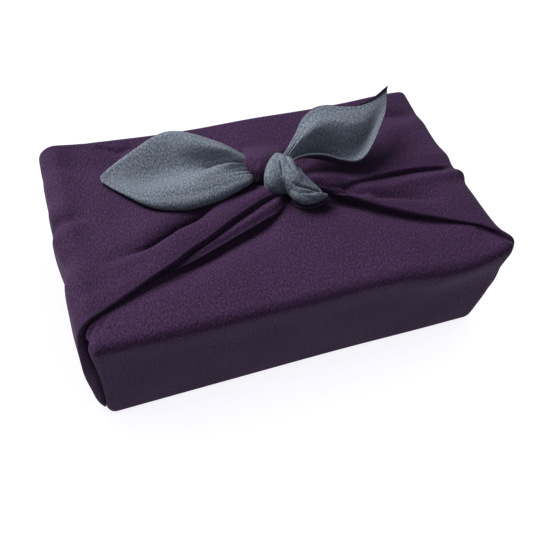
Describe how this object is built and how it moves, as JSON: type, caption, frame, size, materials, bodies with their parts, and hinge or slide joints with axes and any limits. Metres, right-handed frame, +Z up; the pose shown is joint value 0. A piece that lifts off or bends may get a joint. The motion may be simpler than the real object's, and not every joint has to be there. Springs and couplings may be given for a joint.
{
  "type": "furoshiki wrap",
  "caption": "Two-sided cloth drawn tight round a rectangular parcel, its side corners gathered over the top into a knot whose ends stand out as leaf-shaped ears.",
  "frame": {"origin": "on the floor, under the middle of the parcel's body", "axes": "+X along the long side to the right, +Y to the back, +Z up; the front faces -Y"},
  "size_m": [0.2682, 0.148, 0.116],
  "materials": {
    "purple_side": "matt polyester crepe, deep purple face",
    "grey_side": "matt polyester crepe, blue-grey reverse"
  },
  "bodies": {
    "root": {"furoshiki_wrap": "purple_side"}
  },
  "joints": []
}
